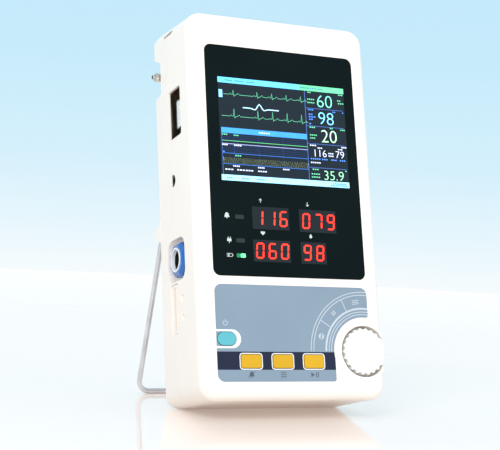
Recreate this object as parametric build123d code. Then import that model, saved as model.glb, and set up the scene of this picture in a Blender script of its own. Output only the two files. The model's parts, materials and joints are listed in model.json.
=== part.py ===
from build123d import *
import math
import os

# A handheld bedside patient monitor, leaning back on a wire stand.
# Every sub-part is drawn upright: X to the right, Y from the front face to the back,
# Z up from the case's bottom. place() then leans the whole object back and moves its
# origin to the centre of its footprint. Sizes are in millimetres.

# --- case ---
W, H, D = 108.0, 210.0, 53.5
RISE = 5.0
TOP = H + RISE + 1
SPLIT = 31.5
WALL = 2.4
CORNER, FRONT_ROUND, REAR_ROUND, BASE_ROUND, TOP_ROUND = 9.0, 5.0, 3.0, 7.0, 12.0
SIDE = -W / 2
GROOVE, GROOVE_DEPTH = 0.3, 0.4
LEAN = 13.8

# --- front panel ---
WINDOW_W, WINDOW_Z0, WINDOW_Z1, WINDOW_T, WINDOW_R = 90.2, 64.7, 192.0, 1.5, 4.0
LEDGE = 3.6
LCD_X, LCD_Z, LCD_W, LCD_H = 0.5, 145.0, 76.8, 57.6
OVERLAY_W, OVERLAY_Z0, OVERLAY_Z1, OVERLAY_T = 90.0, 9.5, 60.4, 0.5
OVERLAY_RIGHT = 23.5

# --- knob ---
KNOB_X, KNOB_Z, KNOB_R, WELL_R, WELL_DEPTH = 41.5, 25.7, 12.6, 13.9, 7.0
DOME_R = 34.0
RING_R = 18.4
FLUTES = 22
PUSH = 0.5

# --- keys ---
KEY_W, KEY_H, KEY_Z, KEY_PROUD, KEY_GAP = 11.4, 7.0, 20.1, 0.6, 0.3
KEYS = {"silence_key": -25.9, "func_key": -7.7, "start_key": 10.5}
POWER_X, POWER_Z, POWER_W, POWER_H = -39.1, 31.7, 10.4, 6.9

# --- boards, by the depth of their front faces ---
BOARD_T = 1.6
KEY_BOARD_Y, LED_BOARD_Y, MAIN_BOARD_Y = 15.5, 10.0, 20.0

# --- left side ---
DSUB_Y, DSUB_Z, DSUB_POCKET = 23.2, 158.8, (16.5, 27.5, 8.0)
PIN_PITCH, PIN_ROW = 2.77, 2.84
JACK_Y, JACK_Z, JACK_R, JACK_BORE = 29.3, 122.0, 3.5, 1.8
ECG_Y, ECG_Z, ECG_POCKET, ECG_DEPTH = 28.5, 78.0, (24.0, 23.0), 4.0
ECG_R, ECG_SLEEVE_R, ECG_BORE = 10.0, 6.65, 5.6
CARD_Y, CARD_Z0, CARD_Z1, CARD_SLIT = 33.3, 38.5, 65.5, 2.2

# --- rear ---
NOTCH_X, NOTCH_Y, NOTCH_Z0, NOTCH_Z1 = -38.0, 42.5, 175.5, 194.0
HOSE_Y, HOSE_Z = 46.6, 186.8
BATTERY = (-22.0, 48.0, 35.5, 50.5, 14.0, 62.0)
SCREW_SPOTS = [(-45.0, 9.5), (45.0, 9.5), (-30.0, 196.0), (30.0, 196.0)]
SEAT_Y = 45.0

# --- stand ---
WIRE_R = 1.5
PIVOT_Y, PIVOT_Z = 57.6, 97.5
LEG_X, FOOT_Y, BEND_R = 50.3, 106.0, 7.0
EYE_R, EYE_W = 2.8, 3.0


def box(x0, x1, y0, y1, z0, z1):
    centre = Pos((x0 + x1) / 2, (y0 + y1) / 2, (z0 + z1) / 2)
    return centre * Box(x1 - x0, y1 - y0, z1 - z0)


def slab(sketch, y0, y1):
    """A flat sketch, drawn as X and Z, pulled from depth y0 to depth y1."""
    return extrude(Plane.XZ.offset(-y1) * sketch, y1 - y0)


def across(sketch, x0, x1):
    """A flat sketch, drawn as Y and Z, pulled from x0 to x1."""
    return extrude(Plane.YZ.offset(x0) * sketch, x1 - x0)


def rounded(x0, x1, z0, z1, radius):
    return Pos((x0 + x1) / 2, (z0 + z1) / 2) * RectangleRounded(x1 - x0, z1 - z0, radius)


def rod_y(x, z, r, y0, y1):
    return Pos(x, (y0 + y1) / 2, z) * Rot(X=90) * Cylinder(r, y1 - y0)


def rod_x(y, z, r, x0, x1):
    return Pos((x0 + x1) / 2, y, z) * Rot(Y=90) * Cylinder(r, x1 - x0)


def tapered_x(y, z, r0, r1, x0, x1):
    return Pos((x0 + x1) / 2, y, z) * Rot(Y=90) * Cone(r0, r1, x1 - x0)


# ---------------------------------------------------------------- case


def top_height(y):
    """The top slopes up from the front edge to the rear."""
    return H + RISE * y / D


def side_profile(inset):
    """The case seen from the side: only the two rear corners are round."""
    y0, y1, z0 = inset, D - inset, inset
    corners = [(y0, z0), (y1, z0), (y1, top_height(y1) - inset), (y0, top_height(y0) - inset)]
    face = Sketch() + make_face(Polyline(*corners, close=True))
    low, high = face.vertices().group_by(Axis.X)[-1].sort_by(Axis.Y)
    face = fillet(high, TOP_ROUND - inset)
    low = face.vertices().group_by(Axis.X)[-1].sort_by(Axis.Y)[0]
    return fillet(low, BASE_ROUND - inset)


def case_block(inset):
    """The outer form of the case, drawn in by the given distance on every side."""
    sections = []
    for y in (inset, D - inset):
        face = rounded(SIDE + inset, -SIDE - inset, inset, top_height(y) - inset, CORNER - inset)
        sections.append(Plane.XZ.offset(-y) * face)
    body = loft(sections, ruled=True)
    body &= across(side_profile(inset), SIDE, -SIDE)
    soft = REAR_ROUND - min(inset, 2.4)
    plan = Pos(0, (D - inset) / 2 - 20) * RectangleRounded(W - 2 * inset, D - inset + 40, soft)
    return body & extrude(plan, TOP)


def outer_form():
    body = case_block(0)
    front_loop = body.edges().group_by(Axis.Y)[0]
    return fillet(front_loop, FRONT_ROUND)


def groove():
    y0, y1 = SPLIT - GROOVE / 2, SPLIT + GROOVE / 2
    band = box(-W, W, y0, y1, -1, TOP)
    return band - case_block(GROOVE_DEPTH)


def seal_ring(y0, y1):
    """The cord seal between the shells; it stops at the connectors in the left side."""
    band = box(-W, W, y0, y1, -1, TOP)
    ring = (band & case_block(1.0)) - case_block(1.6)
    reach = DSUB_Z + DSUB_POCKET[1] / 2 + 2
    return ring - box(SIDE - 1, SIDE + 6, y0 - 1, y1 + 1, CARD_Z0 - 2, reach)


def window_outline(inset):
    half = WINDOW_W / 2 - inset
    r = max(WINDOW_R - inset, 0.6)
    return rounded(-half, half, WINDOW_Z0 + inset, WINDOW_Z1 - inset, r)


def overlay_outline():
    half = OVERLAY_W / 2
    face = rounded(-half, half, OVERLAY_Z0, OVERLAY_Z1, 4)
    face -= Pos(KNOB_X, KNOB_Z) * Circle(RING_R)
    low_right = Pos((OVERLAY_RIGHT + half + 1) / 2, (KNOB_Z + OVERLAY_Z0 - 1) / 2)
    size = (half + 1 - OVERLAY_RIGHT, KNOB_Z - OVERLAY_Z0 + 1)
    face -= low_right * Rectangle(*size)
    foot = face.vertices().sort_by(Axis.Y)[:2].sort_by(Axis.X)[-1]
    face = fillet(foot, 1.4)
    edge = face.vertices().group_by(Axis.X)[-1].sort_by(Axis.Y)[0]
    return fillet(edge, 1.4)


def key_outline(name, grow):
    """A key's outline on the front face, made larger all round by grow."""
    if name == "power_key":
        r = POWER_H / 2 + grow - 0.05
        shape = RectangleRounded(POWER_W + 2 * grow, POWER_H + 2 * grow, r)
        return Pos(POWER_X, POWER_Z) * shape
    shape = RectangleRounded(KEY_W + 2 * grow, KEY_H + 2 * grow, 1.2 + grow)
    return Pos(KEYS[name], KEY_Z) * shape


ALL_KEYS = ["power_key"] + list(KEYS)
POSTS_LOW = [(-42.0, 52.0), (21.5, 52.0), (-41.0, 13.0), (21.5, 12.8)]
POSTS_HIGH = [(-46.5, 100.0), (46.5, 75.0), (-46.5, 190.0), (46.5, 190.0)]


def dsub_pocket():
    dy, dz, depth = DSUB_POCKET
    face = Pos(DSUB_Y, DSUB_Z) * RectangleRounded(dy, dz, 1.5)
    return across(face, SIDE - 1, SIDE + depth)


def ecg_pocket():
    face = Pos(ECG_Y, ECG_Z) * RectangleRounded(*ECG_POCKET, 6)
    return across(face, SIDE - 1, SIDE + ECG_DEPTH)


def side_liners():
    """The walls around the three pockets in the left side, before they are cut."""
    dy, dz, depth = DSUB_POCKET
    inner = SIDE + WALL - 0.2
    dsub = box(inner, SIDE + depth + 1.5, DSUB_Y - dy / 2 - 1.5, DSUB_Y + dy / 2 + 1.5,
               DSUB_Z - dz / 2 - 1.5, DSUB_Z + dz / 2 + 1.5)
    ey, ez = ECG_POCKET
    ecg = box(inner, SIDE + ECG_DEPTH + 1.5, ECG_Y - ey / 2 - 1.5, ECG_Y + ey / 2 + 1.5,
              ECG_Z - ez / 2 - 1.5, ECG_Z + ez / 2 + 1.5)
    card = box(inner, SIDE + WALL + 1.2, CARD_Y - 6.5, CARD_Y + 6.5, CARD_Z0 - 1, CARD_Z1 + 1)
    return dsub + ecg + card


def side_cuts():
    """Everything that is cut through the left side."""
    dy, dz, depth = DSUB_POCKET
    cuts = dsub_pocket() + ecg_pocket()
    cuts += across(dsub_face(-0.4), SIDE + depth - 1, SIDE + depth + 3)
    cuts += rod_x(ECG_Y, ECG_Z, 7.0, SIDE, SIDE + 8)
    mid = (CARD_Z0 + CARD_Z1) / 2
    mouth = Pos(CARD_Y, mid) * RectangleRounded(10.2, CARD_Z1 - CARD_Z0, 0.8)
    lips = Pos(CARD_Y, mid) * Rectangle(CARD_SLIT + 2.8, CARD_Z1 - CARD_Z0 - 0.6)
    throat = Pos(CARD_Y, mid) * Rectangle(CARD_SLIT, CARD_Z1 - CARD_Z0 - 3.4)
    cuts += across(mouth, SIDE - 1, SIDE + 1.6) - across(lips, SIDE + 0.3, SIDE + 2)
    cuts += across(throat, SIDE - 1, SIDE + 6)
    for z in (46.0, 56.5):
        cuts += rod_x(22.0, z, 2.0, SIDE - 1, SIDE + 0.9)
    cuts += box(SIDE - 1, SIDE + 8, 24, 37.5, 205.6, 207.4)
    return cuts


def case_bosses(y0, y1, r):
    return [rod_y(x, z, r, y0, y1) for x, z in SCREW_SPOTS]


def front_case():
    shell = outer_form() & box(-W, W, -1, SPLIT, -1, TOP)
    shell -= case_block(WALL) & box(-W, W, -1, SPLIT + 1, -1, TOP)
    shell += rod_y(KNOB_X, KNOB_Z, WELL_R + 1.6, 1, WELL_DEPTH + 2) & case_block(0.6)
    shell += [rod_y(x, z, 2.5, 2, KEY_BOARD_Y) for x, z in POSTS_LOW]
    shell += [rod_y(x, z, 2.6, 2, MAIN_BOARD_Y) for x, z in POSTS_HIGH]
    shell += case_bosses(2, SPLIT, 3.4)
    shell += side_liners() & box(-W, 0, 0, SPLIT, 0, H)
    shell += box(48, 53, 18, 30, 56, 68) & case_block(0.6)
    shell -= slab(window_outline(0), -1, WINDOW_T)
    shell -= slab(window_outline(LEDGE), -1, WALL + 1)
    shell -= slab(overlay_outline(), -1, OVERLAY_T)
    for name in ALL_KEYS:
        shell -= slab(key_outline(name, KEY_GAP), -1, WALL + 1)
    shell -= rod_y(KNOB_X, KNOB_Z, WELL_R, -1, WELL_DEPTH)
    shell -= rod_y(KNOB_X, KNOB_Z, 3.6, WELL_DEPTH - 1, WELL_DEPTH + 3)
    for x, z in POSTS_LOW:
        shell -= rod_y(x, z, 1.0, KEY_BOARD_Y - 7, KEY_BOARD_Y + 1)
    for x, z in POSTS_HIGH:
        shell -= rod_y(x, z, 1.0, MAIN_BOARD_Y - 7, MAIN_BOARD_Y + 1)
    for x, z in SCREW_SPOTS:
        shell -= rod_y(x, z, 1.5, SPLIT - 8, SPLIT + 1)
    shell -= side_cuts()
    shell -= rod_x(JACK_Y, JACK_Z, JACK_R, SIDE - 1, SIDE + 4)
    shell -= rod_x(24, 62, 4.0, 47, W)
    shell -= box(-41, -18, 8, 14, H - 4, TOP)
    shell -= groove()
    shell -= seal_ring(SPLIT - 0.8, SPLIT + 0.1)
    return shell


def notch_cut(grow):
    """The pocket in the rear left corner, with a sloping upper end."""
    with BuildLine() as outline:
        low, high = NOTCH_Z0 - grow, NOTCH_Z1 + grow
        floor = NOTCH_Y - grow
        Polyline((floor, low), (D + 1, low - 1), (D + 1, high + 6), (floor, high), close=True)
    return across(make_face(outline.line), SIDE - 1, NOTCH_X + grow)


def stand_lug(side):
    """A forked lug on the rear edge, whose two cheeks hold the stand's pin."""
    x = side * LEG_X
    width, nose = 7.4, EYE_R + 0.4
    root, top, low = D - 2, PIVOT_Z + 5, PIVOT_Z - nose - 2
    with BuildLine() as outline:
        Polyline((root, top), (D - 0.5, top - 1), (PIVOT_Y, PIVOT_Z + nose))
        ThreePointArc((PIVOT_Y, PIVOT_Z + nose), (PIVOT_Y + nose, PIVOT_Z), (PIVOT_Y, PIVOT_Z - nose))
        Polyline((PIVOT_Y, PIVOT_Z - nose), (root, low), (root, top))
    lug = across(make_face(outline.line), x - width / 2, x + width / 2)
    gap = EYE_W / 2 + 0.3
    return lug - box(x - gap, x + gap, D, D + 20, PIVOT_Z - 12, PIVOT_Z + 12)


def door_outline(grow):
    x0, x1, y0, y1, z0, z1 = BATTERY
    return rounded(x0 - 2 - grow, x1 - 1 + grow, z0 - 3 - grow, z1 + 3 + grow, 2.0)


def rear_case():
    shell = case_block(0) & box(-W, W, SPLIT, D + 1, -1, TOP)
    shell -= case_block(WALL) & box(-W, W, SPLIT - 1, D + 1, -1, TOP)
    shell += notch_cut(1.5) & case_block(0.5)
    shell += [boss & case_block(0.5) for boss in case_bosses(SPLIT, D, 3.4)]
    shell += side_liners() & box(-W, 0, SPLIT, D - 1, 0, H)
    shell += [stand_lug(-1), stand_lug(1)]
    shell -= notch_cut(0)
    shell -= rod_x(HOSE_Y, HOSE_Z, 2.6, NOTCH_X - 1, NOTCH_X + 3)
    for x, z in SCREW_SPOTS:
        shell -= rod_y(x, z, 1.7, SPLIT - 1, D + 1)
        shell -= rod_y(x, z, 3.0, SEAT_Y, D + 1)
    shell -= side_cuts()
    shell -= slab(door_outline(0.15), D - 2.0, D + 1)
    x0, x1, y0, y1, z0, z1 = BATTERY
    shell -= box(x0 + 1, x1 - 4, D - WALL - 1, D + 1, z0 + 4, z1 - 4)
    for x, z in door_screw_spots():
        shell -= rod_y(x, z, 1.0, D - WALL - 2, D)
    shell -= stand_pins()
    for i in range(5):
        for j in range(5):
            shell -= rod_y(-43 + 4 * i, 20 + 4 * j, 0.9, D - WALL - 1, D + 1)
    shell -= groove()
    return shell


def door_screw_spots():
    x0, x1, y0, y1, z0, z1 = BATTERY
    mid = (x0 + x1) / 2
    return [(mid, z0 - 0.4), (mid, z1 + 0.4)]


def battery_door():
    door = slab(door_outline(0), D - 2.0, D)
    for x, z in door_screw_spots():
        door -= rod_y(x, z, 1.2, D - 3, D + 1)
        door -= rod_y(x, z, 2.2, D - 1.1, D + 1)
    x0, x1, y0, y1, z0, z1 = BATTERY
    for i in range(6):
        door -= box(x0 + 12, x1 - 16, D - 0.6, D + 1, z0 + 8 + 3 * i, z0 + 9.2 + 3 * i)
    return door


def screw(x, z, r, y_tip, y_seat, head_r, head_t):
    """A screw whose head is at the back, with a cross recess."""
    body = rod_y(x, z, r, y_tip, y_seat + 0.2) + rod_y(x, z, head_r, y_seat, y_seat + head_t)
    for turn in (0, 90):
        body -= Pos(x, y_seat + head_t, z) * Rot(Y=turn) * Box(head_r * 1.1, 1.4, head_r * 0.28)
    return body


# ---------------------------------------------------------------- front panel


def display_window():
    return slab(window_outline(0.1), 0, WINDOW_T)


def lcd_block(width, height, y0, y1):
    x, z = width / 2, height / 2
    return box(LCD_X - x, LCD_X + x, y0, y1, LCD_Z - z, LCD_Z + z)


def lcd_gasket():
    return lcd_block(82, 63, 1.5, 2.6) - lcd_block(78, 59, 1, 3)


def lcd_panel():
    return lcd_block(84.6, 65.6, 2.6, 4.8)


def lcd_backlight():
    return lcd_block(84.6, 65.6, 4.8, 8.2)


def lcd_frame():
    return lcd_block(87, 68, 2.6, 9.0) - lcd_block(84.6, 65.6, 2, 8.2)


LED_BLOCKS = {
    "led_display_sys": (-20.7, -0.1, 91.0, 102.2),
    "led_display_dia": (7.1, 28.4, 90.6, 102.0),
    "led_display_hr": (-21.0, -0.2, 73.4, 84.2),
    "led_display_spo2": (7.1, 21.4, 73.2, 84.0),
}
STATUS_LEDS = {"alarm_led": 96.6, "ac_led": 83.8, "battery_led": 75.7}


def led_display(name):
    """A seven-segment module, whose face has one shallow well for each digit."""
    x0, x1, z0, z1 = LED_BLOCKS[name]
    body = box(x0, x1, 3.0, LED_BOARD_Y, z0, z1)
    digits = 2 if name == "led_display_spo2" else 3
    pitch = (x1 - x0) / digits
    for i in range(digits):
        x = x0 + pitch * (i + 0.5)
        body -= box(x - 2.4, x + 2.4, 2, 3.4, z0 + 1.4, z1 - 1.4)
    return body


def status_led(z):
    lens = box(-31.2, -26.2, 3.0, 5.0, z - 1.3, z + 1.3)
    return lens + box(-30.7, -26.7, 5.0, LED_BOARD_Y, z - 1.0, z + 1.0)


def led_board():
    return box(-42, 42, LED_BOARD_Y, LED_BOARD_Y + BOARD_T, 69, 108)


def keypad_overlay():
    sheet = slab(overlay_outline(), 0, OVERLAY_T)
    for name in ALL_KEYS:
        sheet -= slab(key_outline(name, KEY_GAP), -1, 1)
    return sheet


def key(name):
    """A key: its cap, the flange that keeps it in, and its stem to the switch."""
    centre_x = POWER_X if name == "power_key" else KEYS[name]
    centre_z = POWER_Z if name == "power_key" else KEY_Z
    cap = slab(key_outline(name, 0), -KEY_PROUD, WALL + 0.1)
    cap = fillet(cap.edges().group_by(Axis.Y)[0], 0.3)
    flange = slab(key_outline(name, 1.0), WALL + 0.1, WALL + 1.1)
    stem = rod_y(centre_x, centre_z, 1.6, WALL + 1, 11.0)
    return cap + flange + stem


def key_board():
    plate = box(-46, 50, KEY_BOARD_Y, KEY_BOARD_Y + BOARD_T, 10.5, 58)
    plate -= rod_y(45, 9.5, 4.2, 0, D)
    plate -= rod_y(-45, 9.5, 4.2, 0, D)
    for x, z in POSTS_LOW:
        plate -= rod_y(x, z, 1.2, 0, D)
    return plate


def key_switches():
    switches = []
    for x, z in [(POWER_X, POWER_Z)] + [(x, KEY_Z) for x in KEYS.values()]:
        base = box(x - 3, x + 3, 12, KEY_BOARD_Y, z - 3, z + 3)
        switches.append(base + rod_y(x, z, 1.7, 11.6, 12.1))
    return switches


# ---------------------------------------------------------------- knob


def knob():
    """A knob with a domed front and a fluted edge, open behind for the nut."""
    body = rod_y(KNOB_X, KNOB_Z, KNOB_R, -2.2, WELL_DEPTH - 0.8)
    body &= Pos(KNOB_X, DOME_R - 2.2, KNOB_Z) * Sphere(DOME_R)
    for i in range(FLUTES):
        a = 2 * math.pi * (i + 0.5) / FLUTES
        x, z = KNOB_X + (KNOB_R + 0.45) * math.cos(a), KNOB_Z + (KNOB_R + 0.45) * math.sin(a)
        body -= rod_y(x, z, 1.35, -3, WELL_DEPTH)
    body -= rod_y(KNOB_X, KNOB_Z, 8.0, 3.5, WELL_DEPTH)
    body -= rod_y(KNOB_X, KNOB_Z, 3.0, 0.8, WELL_DEPTH)
    return body


def encoder_shaft():
    return rod_y(KNOB_X, KNOB_Z, 3.0, 0.8, 12.0)


def encoder_plunger():
    return rod_y(KNOB_X, KNOB_Z, 3.6, 12.1, 13.4)


def encoder_body():
    """The rotary switch behind the well, with the threaded bush that passes through it."""
    x, z = KNOB_X, KNOB_Z
    body = box(x - 6.5, x + 6.5, WELL_DEPTH + 2, KEY_BOARD_Y, z - 6.5, z + 6.5)
    body += rod_y(x, z, 3.5, 4.4, WELL_DEPTH + 2.5)
    body -= rod_y(x, z, 3.06, 4, 11)
    return body - rod_y(x, z, 4.2, 10.6, 14.3)


def encoder_nut():
    face = Pos(KNOB_X, KNOB_Z) * (RegularPolygon(5.6, 6) - Circle(3.5))
    return slab(face, 5.2, WELL_DEPTH)


# ---------------------------------------------------------------- left side


def dsub_face(grow):
    """The D-shaped face of a nine-way connector; grow makes it larger all round."""
    tall, slim, cut = 8.45 + grow, 4.15 + grow, 0.9
    outline = [(slim, tall), (slim, -tall), (-slim, -tall + cut), (-slim, tall - cut)]
    face = make_face(Polyline(*outline, close=True))
    return Pos(DSUB_Y, DSUB_Z) * fillet(face.vertices(), 1.6)


DSUB_FLOOR = SIDE + DSUB_POCKET[2]
DSUB_TIP = SIDE + 2.6


def dsub_shell():
    """The connector's tin shell and the tin tray that lines its pocket."""
    dy, dz, depth = DSUB_POCKET
    tray = Pos(DSUB_Y, DSUB_Z) * RectangleRounded(dy - 0.2, dz - 0.2, 1.4)
    inner = Pos(DSUB_Y, DSUB_Z) * RectangleRounded(dy - 1.4, dz - 1.4, 0.9)
    body = across(tray, SIDE + 0.9, DSUB_FLOOR)
    body -= across(inner, SIDE, DSUB_FLOOR - 0.8)
    body += across(dsub_face(0), DSUB_TIP, DSUB_FLOOR - 0.7)
    return body - across(dsub_face(-0.5), DSUB_TIP - 1, DSUB_FLOOR + 1)


def dsub_insulator():
    body = across(dsub_face(-0.5), DSUB_TIP + 0.3, DSUB_FLOOR + 7)
    for row, count in ((PIN_ROW / 2, 5), (-PIN_ROW / 2, 4)):
        for i in range(count):
            z = DSUB_Z + PIN_PITCH * (i - (count - 1) / 2)
            body -= rod_x(DSUB_Y + row, z, 0.65, DSUB_TIP - 1, DSUB_TIP + 6)
    return body


def temp_jack():
    """A round jack whose rear edge is cut flat where the two shells meet."""
    body = rod_x(JACK_Y, JACK_Z, JACK_R, SIDE + 0.6, SIDE + 16)
    body &= box(-W, W, 0, SPLIT, 0, H)
    return body - rod_x(JACK_Y, JACK_Z, JACK_BORE, SIDE - 1, SIDE + 13)


ECG_FLOOR = SIDE + ECG_DEPTH
ECG_TIP = SIDE - 0.4
ECG_LINER = SIDE + 1.2


def ecg_housing():
    """The blue bayonet socket: eight flats outside, a threaded neck behind the wall."""
    big = Pos(ECG_Y, ECG_Z) * Rot(Z=22.5) * RegularPolygon(ECG_R, 8)
    small = Pos(ECG_Y, ECG_Z) * Rot(Z=22.5) * RegularPolygon(ECG_R - 1.6, 8)
    mid = ECG_FLOOR - 2.4
    body = across(big, mid, ECG_FLOOR)
    body += loft([Plane.YZ.offset(ECG_TIP) * small, Plane.YZ.offset(mid) * big])
    body += rod_x(ECG_Y, ECG_Z, 7.0, ECG_FLOOR - 1, SIDE + 17)
    body -= rod_x(ECG_Y, ECG_Z, ECG_SLEEVE_R, ECG_TIP - 1, SIDE + 7.5)
    return body - rod_x(ECG_Y, ECG_Z, 5.9, SIDE + 5, SIDE + 16)


def ecg_sleeve():
    """The white ring at the socket's mouth."""
    body = rod_x(ECG_Y, ECG_Z, ECG_SLEEVE_R, ECG_TIP - 0.4, ECG_LINER)
    return body - rod_x(ECG_Y, ECG_Z, ECG_BORE, ECG_TIP - 1, SIDE + 9)


def ecg_liner():
    """The dark tube behind the white ring."""
    body = rod_x(ECG_Y, ECG_Z, ECG_SLEEVE_R, ECG_LINER, SIDE + 7.5)
    return body - rod_x(ECG_Y, ECG_Z, ECG_BORE, SIDE, SIDE + 9)


def ecg_insert():
    body = rod_x(ECG_Y, ECG_Z, 5.9, SIDE + 7.5, SIDE + 16)
    for i in range(6):
        a = math.pi / 3 * i
        y, z = ECG_Y + 3.3 * math.cos(a), ECG_Z + 3.3 * math.sin(a)
        body -= rod_x(y, z, 0.5, SIDE + 7, SIDE + 13)
    return body


def ecg_nut():
    face = Pos(ECG_Y, ECG_Z) * (RegularPolygon(9.6, 6) - Circle(7.0))
    return across(face, ECG_FLOOR + 1.5, ECG_FLOOR + 4.5)


def card_socket():
    low, high, slit = CARD_Z0 + 1, CARD_Z1 - 1, CARD_SLIT / 2
    body = box(SIDE + 4.0, SIDE + 30, CARD_Y - 2.2, CARD_Y + 2.2, low, high)
    return body - box(SIDE + 3, SIDE + 28, CARD_Y - slit, CARD_Y + slit, low + 0.7, high - 0.7)


def dc_inlet():
    body = rod_x(24, 62, 4.0, 46, -SIDE - 0.2)
    body -= rod_x(24, 62, 2.75, 48, W)
    return body + rod_x(24, 62, 1.0, 47.5, -SIDE - 2.5)


def top_cover():
    """A soft cover plugged into the top, whose lid lies on the slope."""
    lid = Pos(0, 0, 0.6) * Box(25, 8, 1.2)
    lid = fillet(lid.edges().filter_by(Axis.Z), 1.5)
    lid = fillet(lid.edges().group_by(Axis.Z)[-1], 0.5)
    slope = math.degrees(math.atan2(RISE, D))
    lid = Pos(-29.5, 11, top_height(11)) * Rot(X=slope) * lid
    return lid + box(-40.8, -18.2, 8.2, 13.8, H - 2.4, H + 1.6)


# ---------------------------------------------------------------- inside


def main_board():
    y0, y1 = MAIN_BOARD_Y, MAIN_BOARD_Y + BOARD_T
    plate = box(-48.5, 48.5, y0, y1, 70, 198)
    plate -= box(-60, -34, 0, D, 60, 95)
    plate -= box(-60, -36, 0, D, 140, 178)
    plate -= [rod_y(x, z, 4.2, 0, D) for x, z in SCREW_SPOTS]
    for x, z in POSTS_HIGH:
        plate -= rod_y(x, z, 1.2, 0, D)
    chips = [(-10, 120, 24), (20, 95, 16), (22, 128, 14), (-14, 92, 14), (-20, 165, 18)]
    back = [box(x, x + s, y1, y1 + 1.8, z, z + s) for x, z, s in chips]
    return plate + back


def board_screws():
    heads = [screw(x, z, 1.0, KEY_BOARD_Y - 6, KEY_BOARD_Y + BOARD_T, 1.9, 1.3)
             for x, z in POSTS_LOW]
    heads += [screw(x, z, 1.0, MAIN_BOARD_Y - 6, MAIN_BOARD_Y + BOARD_T, 1.9, 1.3)
              for x, z in POSTS_HIGH]
    return heads


def board_spacers():
    led = [rod_y(x, z, 2.0, LED_BOARD_Y + BOARD_T, MAIN_BOARD_Y)
           for x in (-31, 38) for z in (72, 104)]
    lcd = [rod_y(x, z, 2.0, 9.0, MAIN_BOARD_Y) for x in (-33, 40) for z in (116, 174)]
    return led + lcd


def battery_pack():
    x0, x1, y0, y1, z0, z1 = BATTERY
    pack = box(x0, x1, y0, y1, z0, z1)
    return fillet(pack.edges().filter_by(Axis.X), 2)


def battery_frame():
    """The tray that carries the battery on four short legs from the key board's side."""
    x0, x1, y0, y1, z0, z1 = BATTERY
    tray = box(x0 - 1, x1 + 1, y0 - 2, y1 - 5, z0 - 1, z1 + 1)
    tray -= box(x0, x1, y0, y1 + 1, z0, z1)
    return tray - rod_y(45, 9.5, 4.0, 0, D)


def nibp_nipple():
    """The chromed hose connector: a stem, a barb near its end and a thin tip."""
    y, z, tip = HOSE_Y, HOSE_Z, SIDE - 3.4
    body = rod_x(y, z, 2.3, tip + 1.6, NOTCH_X)
    body += tapered_x(y, z, 2.1, 2.75, tip + 1.4, tip + 3.0)
    body += rod_x(y, z, 1.4, tip, tip + 2)
    body += rod_x(y, z, 3.4, NOTCH_X - 1.4, NOTCH_X)
    body += rod_x(y, z, 2.6, NOTCH_X - 0.1, NOTCH_X + 1.5)
    body += rod_x(y, z, 1.6, NOTCH_X + 1, NOTCH_X + 9)
    return body - rod_x(y, z, 0.9, tip - 1, NOTCH_X + 10)


def hose():
    """The air hose from the connector's inner end to the pump's head."""
    x = NOTCH_X + 1.6
    bend_y, head_top = 42.0, 166.0
    route = [(x, HOSE_Y, HOSE_Z), (x + 16, HOSE_Y, HOSE_Z), (x + 22, bend_y, head_top + 7),
             (x + 22, bend_y, head_top)]
    path = FilletPolyline(*route, radius=6)
    ring = Circle(2.4) - Circle(1.6)
    return sweep(Plane(origin=route[0], x_dir=(0, 1, 0), z_dir=(1, 0, 0)) * ring, path=path)


PUMP_Y = 37.0


def pump_head():
    body = box(-24, -4, PUMP_Y - 9, PUMP_Y + 9, 146, 166)
    return fillet(body.edges().filter_by(Axis.X), 3)


def pump_motor():
    return rod_x(PUMP_Y, 156, 9.5, -4, 26) + rod_x(PUMP_Y, 156, 4, 26, 28)


def air_valve():
    return rod_x(PUMP_Y, 128, 7, -20, 4) + rod_x(PUMP_Y, 128, 2, 4, 10)


def pump_bracket():
    """A folded plate that holds the pump and the valve off the rear wall."""
    back = box(-26, 34, 46.5, 48.0, 118, 170)
    saddle = box(6, 24, PUMP_Y, 46.5, 144, 168) - rod_x(PUMP_Y, 156, 9.5, -30, 40)
    yoke = box(-18, 2, PUMP_Y, 46.5, 120, 136) - rod_x(PUMP_Y, 128, 7, -30, 40)
    return back + saddle + yoke


def speaker():
    body = rod_y(-35, 28, 10.5, 41, D - WALL - 0.2)
    return body + rod_y(-35, 28, 6, 37, 41.5)


# ---------------------------------------------------------------- stand


def foot_height():
    """How high the foot bar's centre is above the case's bottom plane, so that the bar
    and the case's rounded rear edge touch the same floor once the case leans back."""
    a = math.radians(LEAN)
    edge = -(D - BASE_ROUND) * math.sin(a) + BASE_ROUND * math.cos(a) - BASE_ROUND
    return (edge + WIRE_R + FOOT_Y * math.sin(a)) / math.cos(a)


def stand():
    """One steel wire bent to a U, with a flattened eye at each end."""
    foot = foot_height()
    run = math.hypot(FOOT_Y - PIVOT_Y, PIVOT_Z - foot)
    dy, dz = (FOOT_Y - PIVOT_Y) / run, (foot - PIVOT_Z) / run
    top = (PIVOT_Y + 2.0 * dy, PIVOT_Z + 2.0 * dz)
    route = [(-LEG_X, *top), (-LEG_X, FOOT_Y, foot), (LEG_X, FOOT_Y, foot), (LEG_X, *top)]
    path = FilletPolyline(*route, radius=BEND_R)
    wire = sweep(Plane(origin=route[0], z_dir=(0, dy, dz)) * Circle(WIRE_R), path=path)
    for x in (-LEG_X, LEG_X):
        wire += rod_x(PIVOT_Y, PIVOT_Z, EYE_R, x - EYE_W / 2, x + EYE_W / 2)
        wire -= rod_x(PIVOT_Y, PIVOT_Z, 1.45, x - 4, x + 4)
    return wire


def stand_pins():
    reach = 3.6
    return [rod_x(PIVOT_Y, PIVOT_Z, 1.4, x - reach, x + reach) for x in (-LEG_X, LEG_X)]


# ---------------------------------------------------------------- the whole


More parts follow.
